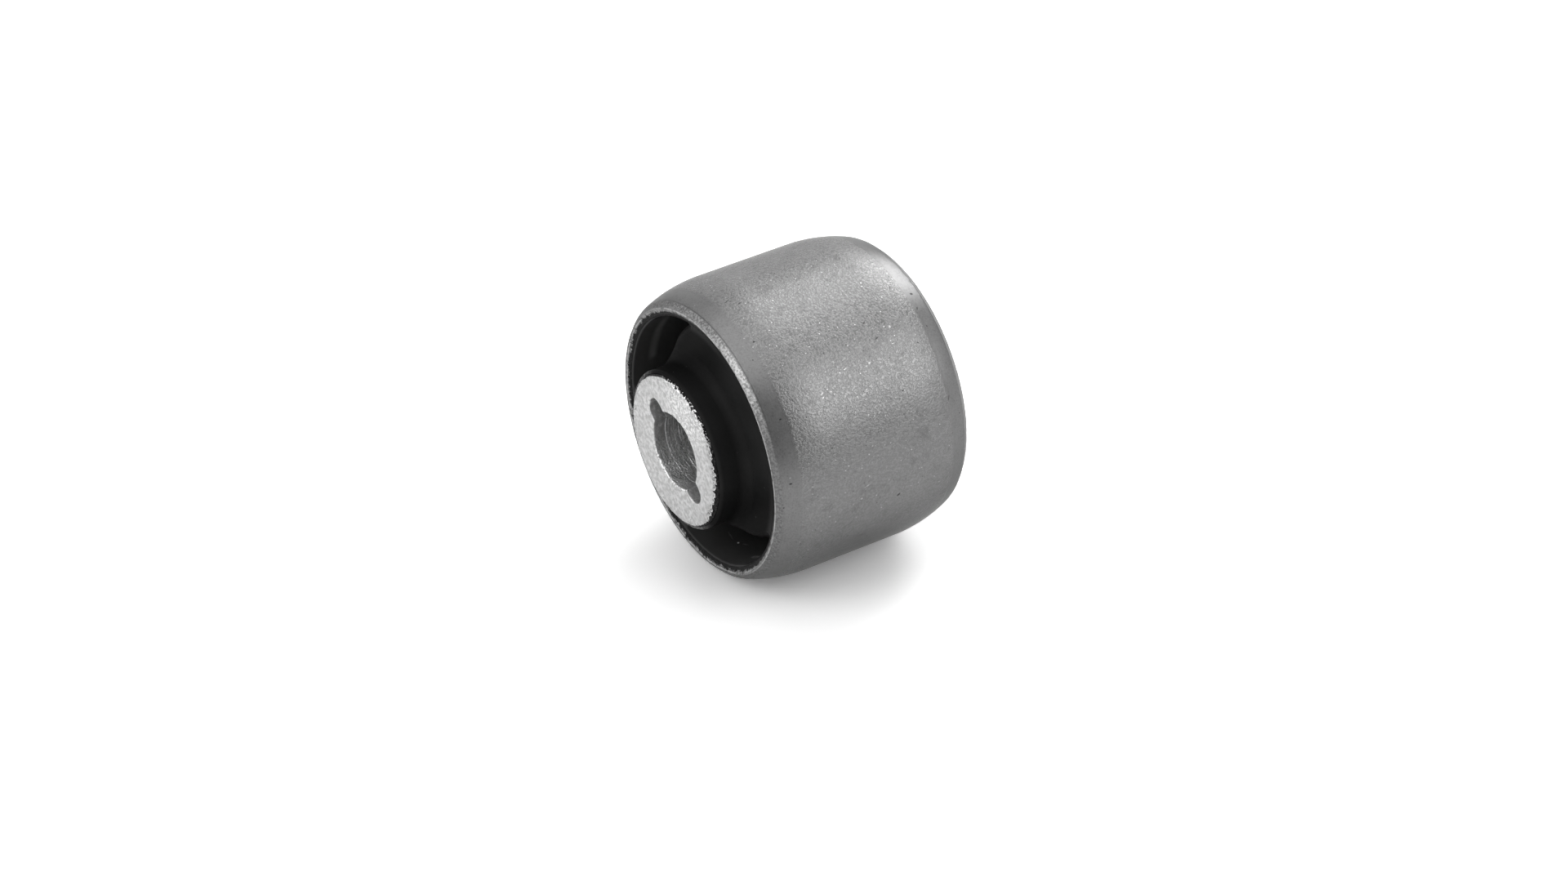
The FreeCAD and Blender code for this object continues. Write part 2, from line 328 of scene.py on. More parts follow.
def make_inner_sleeve(material):
    """The tube with its ragged end faces, burrs and uneven mouths of the bore."""
    turn = groove_turns(TUBE_AROUND)
    wall = bore_reach(turn)
    direction = np.stack([np.cos(turn), np.sin(turn)], axis=-1)
    rings = []

    def add_ring(reach, height):
        reach = np.broadcast_to(reach, turn.shape)
        level = MIDDLE + np.broadcast_to(height, turn.shape)
        rings.append(np.column_stack([direction * reach[:, None], level]))

    def add_end(side):
        """From the tube's outside over one end to the bore."""
        edge, burr = face_edge(turn, side + 1)
        places = np.column_stack([direction * BORE_RADIUS, np.full(len(turn), side * MM)])
        rough = smooth_noise(places, 0.5 * MM, 21) + 0.7 * smooth_noise(places, 0.22 * MM, 22)
        ease = MOUTH_BREAK * (1 + 0.45 * np.clip(rough, -1, 1))
        level = HALF_INNER - BURR_RISE
        steps = [(INNER_RADIUS, HALF_INNER - t) for t in (1.2 * MM, 0.8 * MM, RIM_BREAK)]
        steps += [(INNER_RADIUS - 0.3 * RIM_BREAK, level - 0.55 * RIM_BREAK)]
        steps += [(edge + out * MM, level - fall * MM)
                  for out, fall in EDGE_PROFILE]
        steps += [(edge - back * MM, level + BURR_RISE * burr * rise)
                  for back, rise in BURR_PROFILE]
        inside = edge - 0.4 * MM
        mouth = wall + ease
        steps += [(inside + (mouth - inside) * s, level) for s in np.linspace(0, 1, FACE_RINGS)]
        quarter = np.linspace(0, math.pi / 2, 5)[1:]
        steps += [(mouth - ease * math.sin(a), level - ease * (1 - math.cos(a))) for a in quarter]
        for reach, height in (steps if side > 0 else reversed(steps)):
            add_ring(reach, side * height)

    add_end(1)
    for height in np.linspace(HALF_INNER - 0.8 * MM, -HALF_INNER + 0.8 * MM, BORE_RINGS):
        add_ring(wall, height)
    add_end(-1)
    for height in np.linspace(-HALF_INNER + 4 * MM, HALF_INNER - 4 * MM, SIDE_RINGS):
        add_ring(INNER_RADIUS, height)
    piece = add_piece("tube", ring_mesh("tube", np.array(rings)), material, 50)
    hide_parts("inner_sleeve")


def make_moulding(material):
    """The rubber's skin in one piece, shaded smoothly over its rounded edges."""
    skin = bmesh.new()
    skin.from_mesh(frame["nodes"]["rubber"].data)
    bmesh.ops.remove_doubles(skin, verts=skin.verts, dist=0.002 * MM)
    mesh = bpy.data.meshes.new("moulding")
    skin.to_mesh(mesh)
    skin.free()
    mesh.materials.clear()
    piece = add_piece("moulding", mesh, material, 35)
    weighted = piece.modifiers.new("weighted", "WEIGHTED_NORMAL")
    weighted.keep_sharp = True
    weighted.weight = 100
    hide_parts("rubber")


# Materials

class Nodes:
    """Short calls that add and link the nodes of one tree. A share runs from 0 to 1."""

    def __init__(self, tree):
        self.tree = tree
        self.coordinates = self.add("ShaderNodeTexCoord")
        self.place = self.coordinates.outputs["Object"]

    def add(self, kind, **settings):
        node = self.tree.nodes.new(kind)
        for name, value in settings.items():
            setattr(node, name, value)
        return node

    def put(self, socket, value):
        if isinstance(value, bpy.types.NodeSocket):
            self.tree.links.new(value, socket)
        else:
            socket.default_value = value

    def math(self, kind, *values):
        node = self.add("ShaderNodeMath", operation=kind)
        for socket, value in zip(node.inputs, values):
            self.put(socket, value)
        return node.outputs[0]

    def chain(self, kind, values):
        result = values[0]
        for value in values[1:]:
            result = self.math(kind, result, value)
        return result

    def total(self, *values):
        return self.chain("ADD", values)

    def product(self, *values):
        return self.chain("MULTIPLY", values)

    def most(self, *values):
        return self.chain("MAXIMUM", values)

    def less(self, first, second):
        return self.math("SUBTRACT", first, second)

    def noise(self, per_metre, detail=2.0, roughness=0.5, place=None):
        node = self.add("ShaderNodeTexNoise")
        self.put(node.inputs["Vector"], place or self.place)
        self.put(node.inputs["Scale"], per_metre)
        self.put(node.inputs["Detail"], detail)
        self.put(node.inputs["Roughness"], roughness)
        return node.outputs["Fac"]

    def ramp(self, value, low, high, start=0.0, end=1.0):
        """From start, where the value is low, smoothly to end, where it is high."""
        node = self.add("ShaderNodeMapRange", interpolation_type="SMOOTHSTEP")
        for socket, setting in zip(node.inputs, (value, low, high, start, end)):
            self.put(socket, setting)
        return node.outputs["Result"]

    def near(self, value, place, outer, inner):
        """1 up to inner from a place, falling to 0 at outer from it."""
        return self.ramp(self.math("ABSOLUTE", self.less(value, place)), outer, inner)

    def mix(self, share, first, second):
        """The first number, with the second laid over it by a share."""
        return self.total(self.product(first, self.less(1.0, share)), self.product(second, share))

    def grey(self, value):
        node = self.add("ShaderNodeCombineColor")
        for name in ("Red", "Green", "Blue"):
            self.put(node.inputs[name], value)
        return node.outputs[0]

    def stretched(self, x, y, z):
        """The place, with lengths along the axes made longer or shorter."""
        node = self.add("ShaderNodeMapping")
        self.put(node.inputs["Vector"], self.place)
        self.put(node.inputs["Scale"], (x, y, z))
        return node.outputs[0]

    def specks(self, per_metre, size, share):
        """Small round spots, on about that share of the cells of a lattice."""
        node = self.add("ShaderNodeTexVoronoi")
        self.put(node.inputs["Vector"], self.place)
        self.put(node.inputs["Scale"], per_metre)
        spot = self.ramp(node.outputs["Distance"], size, size * 0.6)
        split = self.add("ShaderNodeSeparateColor")
        self.put(split.inputs[0], node.outputs["Color"])
        return self.product(spot, self.math("LESS_THAN", split.outputs[0], share))

    def mark(self, centre, axes, length, width):
        """1 on one long or round mark, 0 elsewhere."""
        node = self.add("ShaderNodeMapping", vector_type="TEXTURE")
        self.put(node.inputs["Vector"], self.place)
        self.put(node.inputs["Location"], centre)
        self.put(node.inputs["Rotation"], axes.to_euler())
        self.put(node.inputs["Scale"], (length / 2, width / 2, width))
        reach = self.add("ShaderNodeVectorMath", operation="LENGTH")
        self.put(reach.inputs[0], node.outputs[0])
        return self.ramp(reach.outputs["Value"], 1.0, 0.6)

    def split_place(self):
        """Keeps x, y, z, the height from the middle and the distance from the axis."""
        split = self.add("ShaderNodeSeparateXYZ")
        self.put(split.inputs[0], self.place)
        self.x, self.y, self.z = split.outputs
        self.height = self.math("ABSOLUTE", self.less(self.z, MIDDLE))
        squares = self.total(self.product(self.x, self.x), self.product(self.y, self.y))
        self.reach = self.math("SQRT", squares)

    def on_side(self, middle, half_width):
        """1 round one angle about the axis, falling to 0 at half_width degrees on both sides."""
        turn, half = math.radians(middle), math.radians(half_width)
        along = self.total(self.product(self.x, math.cos(turn)),
                           self.product(self.y, math.sin(turn)))
        cosine = self.math("DIVIDE", along, self.reach)
        return self.ramp(cosine, math.cos(half), math.cos(0.35 * half))

    def bump(self, height, distance, strength):
        node = self.add("ShaderNodeBump")
        self.put(node.inputs["Height"], height)
        self.put(node.inputs["Distance"], distance)
        self.put(node.inputs["Strength"], strength)
        return node.outputs["Normal"]

    def surface(self, settings):
        shader = self.tree.nodes["Principled BSDF"]
        for name, value in settings.items():
            self.put(shader.inputs[name], value)


def new_material(name):
    material = bpy.data.materials.new(name)
    material.use_nodes = True
    return material, Nodes(material.node_tree)


# The dull metal mirrors less than clean metal where seen edge on
EDGE_TINT = (0.6, 0.6, 0.6, 1)
METAL_SPECULAR = 0.5

# Height, angle, length, width and lean of the barrel's marks, in mm and degrees
DARK_MARKS = [
    (21.1, -138.8, 0.9, 0.5, 30), (8.0, -65.0, 0.8, 0.5, 0), (9.1, -107.5, 1.5, 0.2, 60),
    (38.7, -39.5, 1.6, 0.22, 20), (36.0, -1.0, 3.4, 0.5, 40), (14.8, -176.0, 2.8, 0.16, 50),
    (24.0, -178.0, 3.4, 0.14, 55), (30.5, -152.0, 0.5, 0.3, 0), (41.6, -93.0, 0.6, 0.3, 10),
    (42.4, -118.0, 0.7, 0.4, 0), (39.8, -62.0, 0.5, 0.4, 0), (19.0, -77.5, 0.9, 0.3, 20),
    (8.6, -71.5, 0.8, 0.25, 60), (11.4, -60.5, 1.1, 0.2, 60), (18.0, -98.5, 0.5, 0.3, 0),
    (19.8, -70.5, 0.7, 0.25, 40), (37.4, -43.5, 0.8, 0.25, 10),
]
# Painted glints, most in small clusters, and one pale scratch
GLINT_AND_SCRATCH_MARKS = [
    (29.0, -133.8, 0.6, 0.4, 0), (23.5, -102.9, 0.7, 0.4, 20), (25.7, -102.6, 0.6, 0.35, 70),
    (24.6, -103.5, 0.4, 0.3, 0), (15.7, -75.1, 0.6, 0.5, 0), (16.7, -74.4, 0.5, 0.3, 0),
    (22.2, -85.0, 0.7, 0.35, 20), (23.1, -85.7, 0.4, 0.3, 0), (27.0, -84.0, 1.1, 0.2, 10),
    (28.3, -84.6, 0.5, 0.3, 0), (33.0, -89.5, 0.9, 0.25, 20), (21.0, -35.5, 0.7, 0.3, 30),
    (27.9, -129.0, 2.3, 0.13, 20), (33.0, -91.0, 0.6, 0.25, 25),
]

# The barrel's cut ends. Middle and half width, in degrees, of the side where the bevel is painted
# lighter, as a painted highlight, and of the side where the film of rubber reaches furthest; the
# film's mean reach on the other side and there; distance from the lip, in mm, and grey of the sawn
# end's lines
LIT_SIDE = (305, 50)
FILM_SIDE = (270, 65)
FILM_REACH, FILM_REACH_THERE = 0.68 * MM, 0.9 * MM
SAW_LINES = ((0.85, 0.06), (1.15, 0.5), (1.4, 0.07))

# Depth, width and strength of the turned lines in the bore, in mm
BORE_LINES = [
    (3.3, 0.14, 0.9), (3.9, 0.1, 0.4), (4.9, 0.1, 0.4), (5.8, 0.13, 0.9), (6.3, 0.08, 0.5),
    (7.4, 0.08, 0.5), (9.0, 0.1, 0.4),
]
ROUGH_MOUTH_SIDE = (125, 70)    # middle and half width of the bore's rough mouth, painted with glints, in degrees

# Height above the middle and angle of a mark on a void's outer wall, its length and width, its lean
# and how pale it is, in mm and degrees
# The marks: two pieces of a flash line, a crumb, and a pale smear that is a painted highlight
WALL_MARKS = [
    (13.5, 140, 3.4, 0.35, 12, 0.10), (13.6, 146.5, 0.5, 0.5, 0, 0.9),
    (12.9, 150, 1.6, 0.5, -25, 0.12), (15.1, 168, 3.0, 1.5, 0, 0.16),
]
HIGHLIGHT_STREAK_HEIGHT = 15.4 * MM       # of the painted highlight, a pale streak, on the other void's outer wall
COAT_REACH = 15 * MM            # between the tube's coat and the fillet at its foot
COAT_TOP = 24 * MM              # from the middle to where the coat has a painted sheen


def barrel_mark(nodes, height, turn, length, width, lean):
    """A mark on the barrel: its height and angle, its size, and its lean away from the axis."""
    turn = math.radians(turn)
    reach = swage_reach(0, height * MM - MIDDLE)
    outward = Vector((math.cos(turn), math.sin(turn), 0))
    along = Matrix.Rotation(math.radians(lean), 3, outward) @ UP
    axes = Matrix((along, outward.cross(along), outward)).transposed()
    return nodes.mark(outward * reach + UP * height * MM, axes, length * MM, width * MM)


def wall_mark(nodes, height, turn, length, width, lean):
    """A mark on a void's outer wall, lying round the axis and turned out of that by the lean."""
    turn, lean = math.radians(turn), math.radians(lean)
    inward = Vector((-math.cos(turn), -math.sin(turn), 0))
    around = Vector((-math.sin(turn), math.cos(turn), 0))
    along = around * math.cos(lean) + UP * math.sin(lean)
    axes = Matrix((along, inward.cross(along), inward)).transposed()
    centre = CENTRE - inward * VOID_REACH + UP * height * MM
    return nodes.mark(centre, axes, length * MM, width * MM)


def grained_steel(nodes, fine, patches, peel, smooth_zone):
    """Grey of the barrel's grained middle, with painted glints, and of the bands that the dies
    smoothed.
    """
    plain, light_plain, raised = 0.15, 0.2, 0.27
    dark_speck, glint_speck, glint = 0.07, 0.5, 0.45
    tone = nodes.mix(nodes.noise(90, 3), plain, light_plain)
    tone = nodes.mix(nodes.product(peel, 0.4), tone, raised)
    tone = nodes.mix(nodes.specks(1500, 0.2, 0.12), tone, dark_speck)
    # Painted glints: pale specks, and the peaks of the fine noise
    tone = nodes.mix(nodes.specks(1700, 0.22, 0.07), tone, glint_speck)
    tone = nodes.mix(nodes.ramp(fine, 0.62, 0.74, 0, 0.6), tone, glint)

    smooth, light_smooth, light_grain, dark_grain, dull = 0.155, 0.18, 0.22, 0.09, 0.09
    speckle = nodes.noise(3200, 3, 0.7)
    rubbed = nodes.mix(nodes.ramp(patches, 0.35, 0.65), smooth, light_smooth)
    rubbed = nodes.mix(nodes.ramp(speckle, 0.38, 0.62, 0, 0.5), rubbed, light_grain)
    rubbed = nodes.mix(nodes.ramp(speckle, 0.42, 0.3, 0, 0.6), rubbed, dark_grain)
    tone = nodes.mix(nodes.product(smooth_zone, 0.85), tone, rubbed)
    spots = nodes.product(nodes.ramp(patches, 0.56, 0.66), nodes.mix(smooth_zone, 0.25, 0.12))
    return nodes.mix(spots, tone, dull)


def cut_steel(nodes, on_end, near_side, lit_side):
    """Grey of the barrel's bevels, its sawn ends and the ridge between them."""
    torn_grey, bevel_grey, lit_bevel, lower_bevel_highlight = 0.13, 0.22, 0.32, 0.34
    torn = nodes.ramp(nodes.noise(2600, 3, 0.65), 0.36, 0.64)
    # Painted highlights: the bevel lighter on the lit side and at the lower end
    bevelled = nodes.mix(torn, torn_grey, nodes.mix(lit_side, bevel_grey, lit_bevel))
    lower_end = nodes.math("LESS_THAN", nodes.z, MIDDLE)
    bevelled = nodes.mix(nodes.product(lower_end, 0.7), bevelled, lower_bevel_highlight)

    rough_grey, sawn_grey, near_sawn = 0.1, 0.32, 0.4
    rough = nodes.ramp(nodes.noise(1500, 4, 0.65), 0.38, 0.64)
    sawn = nodes.mix(rough, rough_grey, nodes.mix(near_side, sawn_grey, near_sawn))
    waved = nodes.less(nodes.reach, LIP_REACH)
    waved = nodes.total(waved, nodes.product(nodes.noise(250, 2), 0.3 * MM))
    for place, grey in SAW_LINES:
        line = nodes.near(waved, place * MM, 0.13 * MM, 0.04 * MM)
        kept = nodes.product(line, nodes.ramp(nodes.noise(420, 2), 0.4, 0.55))
        sawn = nodes.mix(nodes.product(kept, nodes.mix(near_side, 0.7, 0.2)), sawn, grey)

    ridge_grey, near_ridge = 0.22, 0.5
    ridge = nodes.ramp(nodes.height, HALF_OUTER - 0.14 * MM, HALF_OUTER - 0.05 * MM)
    ridge = nodes.product(ridge, nodes.ramp(nodes.noise(1100, 3), 0.36, 0.5))
    return nodes.mix(ridge, nodes.mix(on_end, bevelled, sawn),
                     nodes.mix(near_side, ridge_grey, near_ridge))


def rubber_film(nodes, on_end, near_side):
    """Share of the thin rubber that ran over the inner part of the sawn end."""
    flow = nodes.less(nodes.noise(900, 4, 0.7), 0.5)
    film = nodes.mix(nodes.on_side(*FILM_SIDE), FILM_REACH, FILM_REACH_THERE)
    film = nodes.total(film, nodes.product(flow, nodes.mix(near_side, 2.2 * MM, 0.5 * MM)))
    past = nodes.less(nodes.less(nodes.reach, LIP_REACH), film)
    return nodes.product(nodes.ramp(past, 0.05 * MM, -0.03 * MM), on_end)


def barrel_steel():
    """Dull steel: grained in the middle, smooth towards the ends, rough where it was cut."""
    material, nodes = new_material("barrel_steel")
    nodes.split_place()
    fine = nodes.noise(6000, 2)
    patches = nodes.noise(420, 4, 0.65)
    grain = nodes.noise(2350, 3, 0.6)
    peel = nodes.ramp(grain, 0.42, 0.6)
    edge = nodes.total(nodes.height, nodes.product(nodes.noise(400), 0.6 * MM))
    smooth_zone = nodes.ramp(edge, GRAIN_REACH - 0.3 * MM, GRAIN_REACH + 0.6 * MM)
    cut_end = nodes.ramp(nodes.height, BEVEL_START - 0.1 * MM, BEVEL_START + 0.1 * MM)
    on_end = nodes.ramp(nodes.reach, RIDGE_REACH + 0.06 * MM, RIDGE_REACH - 0.04 * MM)
    near_side = nodes.ramp(nodes.y, 8 * MM, -14 * MM)
    lit_side = nodes.on_side(*LIT_SIDE)

    tone = grained_steel(nodes, fine, patches, peel, smooth_zone)
    tone = nodes.mix(cut_end, tone, cut_steel(nodes, on_end, near_side, lit_side))
    outer_line = nodes.near(nodes.height, BEVEL_START - 0.1 * MM, 0.16 * MM, 0.05 * MM)
    line_grey, glint_and_scratch_grey, dark_mark, film_dark, film_light = 0.08, 0.55, 0.03, 0.012, 0.05
    tone = nodes.mix(nodes.product(outer_line, nodes.mix(lit_side, 0.1, 0.6)), tone, line_grey)

    # Painted glints in marks and specks, a pale scratch, dark bruises and dust, and the rubber on
    # the ends
    light = nodes.most(*(barrel_mark(nodes, *mark) for mark in GLINT_AND_SCRATCH_MARKS),
                       nodes.specks(510, 0.07, 0.4))
    light = nodes.product(light, nodes.ramp(fine, 0.4, 0.6, 0.2, 0.7))
    dark = nodes.most(*(barrel_mark(nodes, *mark) for mark in DARK_MARKS),
                      nodes.specks(430, 0.07, 0.3))
    tone = nodes.mix(light, tone, glint_and_scratch_grey)
    tone = nodes.mix(nodes.product(dark, 0.85), tone, dark_mark)
    rubbered = rubber_film(nodes, on_end, near_side)
    film = nodes.mix(nodes.ramp(fine, 0.5, 0.7), film_dark, film_light)
    tone = nodes.mix(rubbered, tone, film)

    clouds = nodes.noise(90, 3)
    roughness = nodes.mix(smooth_zone, nodes.mix(clouds, 0.21, 0.28),
                          nodes.mix(patches, 0.28, 0.38))
    grained = nodes.total(grain, nodes.product(peel, 0.6), nodes.product(fine, 0.5))
    torn = nodes.product(nodes.noise(1900, 3, 0.6), 1.3)
    depth = nodes.mix(smooth_zone, 1.0, nodes.mix(cut_end, 0.07, 0.72))
    relief = nodes.product(nodes.mix(cut_end, grained, torn), depth)
    relief = nodes.less(relief, nodes.product(dark, 0.3))
    relief = nodes.total(relief, nodes.product(rubbered, 0.5))
    nodes.surface({
        "Base Color": nodes.grey(tone),
        "Metallic": nodes.less(1.0, rubbered),
        "Specular IOR Level": nodes.mix(rubbered, METAL_SPECULAR, 0.03),
        "Specular Tint": EDGE_TINT,
        "Roughness": nodes.mix(cut_end, roughness, 0.42),
        "Normal": nodes.bump(relief, 0.037 * MM, 1.0),
    })
    return material


def bore_steel(nodes, depth, mottle):
    """Grey of the bore, darker and mottled, and share of the thin turned lines that come and go."""
    leaning = nodes.total(depth, nodes.product(nodes.x, 0.05),
                          nodes.product(nodes.noise(120, 2), 1.2 * MM))
    dark, light, mottled, line_grey, speck = 0.42, 0.58, 0.8, 1.0, 0.03
    streaks = nodes.noise(1300, 4, 0.65, nodes.stretched(0.3, 0.3, 1.0))
    tone = nodes.mix(nodes.ramp(streaks, 0.35, 0.68), dark, light)
    tone = nodes.mix(nodes.ramp(mottle, 0.5, 0.7, 0, 0.6), tone, mottled)
    broken = nodes.ramp(nodes.noise(300, 2), 0.38, 0.55)
    lines = nodes.most(*(
        nodes.product(nodes.near(leaning, place * MM, width * MM, 0.3 * width * MM), broken, share)
        for place, width, share in BORE_LINES))
    tone = nodes.mix(lines, tone, line_grey)
    return nodes.mix(nodes.specks(520, 0.1, 0.22), tone, speck), lines


def tube_steel():
    """Steel with a mottled, pitted and burred end face, painted glints on its burrs and mouth, and
    a darker bore.
    """
    material, nodes = new_material("tube_steel")
    nodes.split_place()
    depth = nodes.less(HALF_INNER - BURR_RISE, nodes.height)
    face = nodes.ramp(depth, 0.3 * MM, 0.05 * MM)
    outside = nodes.math("GREATER_THAN", nodes.reach, (INNER_RADIUS + BORE_RADIUS) / 2)
    grain = nodes.noise(2000, 4, 0.65)
    mottle = nodes.noise(1300, 3, 0.6)
    pits = nodes.noise(2600, 2)
    worn = nodes.on_side(*WORN_SIDE)
    burred = nodes.on_side(*BURRED_SIDE)

    # The face: mottled, with pits towards the rim and holes on its worn side
    face_dark, face_light, cloud, pit, hole = 0.48, 0.72, 0.5, 0.16, 0.03
    tone = nodes.mix(nodes.ramp(mottle, 0.35, 0.65), face_dark, face_light)
    tone = nodes.mix(nodes.ramp(nodes.noise(350, 3), 0.45, 0.7, 0, 0.35), tone, cloud)
    rim_pits = nodes.ramp(nodes.reach, INNER_RADIUS - 2.6 * MM, INNER_RADIUS - 0.7 * MM, 0.1, 0.75)
    tone = nodes.mix(nodes.product(nodes.ramp(pits, 0.6, 0.68), rim_pits), tone, pit)
    worn_rim = nodes.ramp(nodes.reach, INNER_RADIUS - 1.9 * MM, INNER_RADIUS - 0.9 * MM)
    worn_rim = nodes.product(worn, worn_rim)
    holes = nodes.most(nodes.specks(2100, 0.34, 0.5), nodes.ramp(pits, 0.52, 0.58))
    tone = nodes.mix(nodes.product(worn_rim, holes), tone, hole)

    # The bore's rough mouth with painted glints, a scratch along the rim, and painted glints on the
    # burrs and in bright flecks
    glint_white, dim, scratched, fleck_glint_grey = 0.98, 0.3, 0.2, 0.9
    mouth = nodes.ramp(nodes.reach, BORE_RADIUS + 0.55 * MM, BORE_RADIUS + 0.2 * MM)
    mouth = nodes.product(mouth, nodes.on_side(*ROUGH_MOUTH_SIDE))
    tone = nodes.mix(nodes.product(mouth, nodes.ramp(grain, 0.47, 0.55)), tone, glint_white)
    tone = nodes.mix(nodes.product(mouth, nodes.ramp(grain, 0.44, 0.38)), tone, dim)
    waved = nodes.total(nodes.reach, nodes.product(nodes.noise(200, 3), 1.1 * MM))
    scratch = nodes.near(waved, INNER_RADIUS - 0.3 * MM, 0.09 * MM, 0.02 * MM)
    scratch = nodes.product(scratch, burred, nodes.ramp(mottle, 0.4, 0.5))
    tone = nodes.mix(nodes.product(scratch, 0.7), tone, scratched)
    # The burrs and the bright flecks painted as glints
    burr = nodes.ramp(depth, 0.0, -0.3 * BURR_RISE)
    tone = nodes.mix(burr, tone, glint_white)
    glint_flecks = nodes.product(nodes.ramp(nodes.noise(1900, 4, 0.7), 0.51, 0.57), burred)
    tone = nodes.mix(glint_flecks, tone, fleck_glint_grey)

    # The bore, and the rubber left beyond the face's edge
    bore, lines = bore_steel(nodes, depth, mottle)
    end_zone = nodes.most(face, outside)
    tone = nodes.mix(end_zone, bore, tone)
    beyond = nodes.product(outside, nodes.ramp(depth, 0.03 * MM, 0.08 * MM))
    residue = nodes.product(beyond, nodes.ramp(nodes.y, 7 * MM, 1 * MM), nodes.less(1.0, glint_flecks))
    stain_dark, stain_light = 0.008, 0.035
    stain = nodes.mix(nodes.ramp(pits, 0.5, 0.62), stain_dark, stain_light)
    tone = nodes.mix(residue, tone, stain)

    roughness = nodes.mix(end_zone, nodes.mix(lines, 0.5, 0.3), nodes.mix(burr, 0.45, 0.3))
    rough_rim = nodes.most(worn_rim, mouth, nodes.product(burred, rim_pits))
    relief = nodes.total(nodes.product(grain, 0.7), mottle, nodes.product(rough_rim, pits, 2.0))
    relief = nodes.less(relief, nodes.product(lines, 0.5))
    nodes.surface({
        "Base Color": nodes.grey(tone),
        "Metallic": nodes.less(1.0, residue),
        "Specular IOR Level": nodes.mix(residue, METAL_SPECULAR, 0.05),
        "Specular Tint": EDGE_TINT,
        "Roughness": roughness,
        "Normal": nodes.bump(relief, 0.09 * MM, 0.9),
    })
    return material


def moulded_rubber():
    """Black rubber: painted shade by the voids, painted light in the hollows, a painted sheen on
    the coat's top.
    """
    material, nodes = new_material("moulded_rubber")
    nodes.split_place()
    clouds = nodes.noise(200, 3)
    fine = nodes.noise(3500, 3)
    black, soft_black, lit_hollow_dark, lit_hollow_light = 0.010, 0.018, 0.04, 0.06
    sheen_dark, sheen_light, highlight_streak_grey, dust_grey = 0.05, 0.2, 0.12, 0.05
    # Painted shade: the rubber darker towards the voids, with less specular there
    shade_by_voids = nodes.ramp(nodes.math("ABSOLUTE", nodes.x), 7 * MM, 15 * MM)
    shade_by_voids = nodes.product(shade_by_voids, nodes.ramp(nodes.reach, 22.3 * MM, 21.0 * MM))
    tone = nodes.product(nodes.mix(clouds, black, soft_black), nodes.mix(shade_by_voids, 1.15, 0.4))
    # Painted light: the rubber paler deep in the voids and on the voids' outer walls towards +Y
    below = nodes.ramp(nodes.height, HALF_OUTER - 1.3 * MM, HALF_OUTER - 3.0 * MM)
    lining = nodes.product(nodes.ramp(nodes.reach, VOID_REACH - 0.9 * MM, VOID_REACH - 0.3 * MM),
                           nodes.ramp(nodes.y, 0, 3 * MM))
    lit_hollow = nodes.most(below, lining)
    tone = nodes.mix(lit_hollow, tone, nodes.mix(clouds, lit_hollow_dark, lit_hollow_light))

    # Painted sheen, mottled, on the coat's top towards +Y
    sheen_on_coat = nodes.product(
        nodes.ramp(nodes.reach, COAT_REACH + 0.2 * MM, COAT_REACH - 0.2 * MM),
        nodes.ramp(nodes.height, COAT_TOP - 0.2 * MM, COAT_TOP + 0.2 * MM),
        nodes.ramp(nodes.y, -3 * MM, 4 * MM))
    sheen_mottle = nodes.ramp(nodes.noise(2200, 4, 0.65), 0.4, 0.6)
    tone = nodes.mix(sheen_on_coat, tone, nodes.mix(sheen_mottle, sheen_dark, sheen_light))

    # Paler places on the voids' outer walls: a painted highlight as a streak on one; a flash line,
    # a crumb and a smear that is a painted highlight on the other
    highlight_streak = nodes.near(nodes.z, MIDDLE + HIGHLIGHT_STREAK_HEIGHT, 1.3 * MM, 0.1 * MM)
    for place, low, high in ((nodes.reach, VOID_REACH - 0.7 * MM, VOID_REACH - 0.3 * MM),
                             (nodes.y, 2 * MM, 6 * MM), (nodes.y, 15.8 * MM, 14.6 * MM),
                             (nodes.x, 3 * MM, 5 * MM)):
        highlight_streak = nodes.product(highlight_streak, nodes.ramp(place, low, high))
    tone = nodes.mix(highlight_streak, tone, highlight_streak_grey)
    broken = nodes.ramp(fine, 0.4, 0.55, 0.3, 1.0)
    for *place_and_size, pale in WALL_MARKS:
        tone = nodes.mix(nodes.product(wall_mark(nodes, *place_and_size), broken), tone, pale)
    tone = nodes.mix(nodes.specks(700, 0.1, 0.12), tone, dust_grey)
    nodes.surface({
        "Base Color": nodes.grey(tone),
        "Roughness": nodes.mix(clouds, 0.4, 0.55),
        "Specular IOR Level": nodes.mix(shade_by_voids, 0.03, 0.014),
        "Normal": nodes.bump(fine, 0.02 * MM, 0.5),
    })
    return material


# Stage, light and camera

def seen_by(nodes, *rays):
    """1 for these kinds of rays, 0 for the others."""
    path = nodes.add("ShaderNodeLightPath")
    return nodes.most(*(path.outputs[ray] for ray in rays))


def make_world():
    """An even white surround, less bright to the object's surfaces, and dimmed in one part."""
    world = bpy.data.worlds.new("studio")
    bpy.context.scene.world = world
    world.use_nodes = True
    nodes = Nodes(world.node_tree)
    white = seen_by(nodes, "Is Camera Ray", "Is Glossy Ray", "Is Transmission Ray")
    white = nodes.mix(white, FILL, 1.0)
    off = nodes.add("ShaderNodeVectorMath", operation="DOT_PRODUCT")
    nodes.put(off.inputs[0], nodes.coordinates.outputs["Generated"])
    nodes.put(off.inputs[1], studio(*DIM_PART).normalized())
    dim = nodes.ramp(off.outputs["Value"], math.cos(DIM_EDGE), math.cos(DIM_CORE), 1.0, DIM_LEVEL)
    background = world.node_tree.nodes["Background"]
    nodes.put(background.inputs["Color"], (1, 1, 1, 1))
    nodes.put(background.inputs["Strength"],
              nodes.product(white, nodes.most(seen_by(nodes, "Is Camera Ray"), dim)))


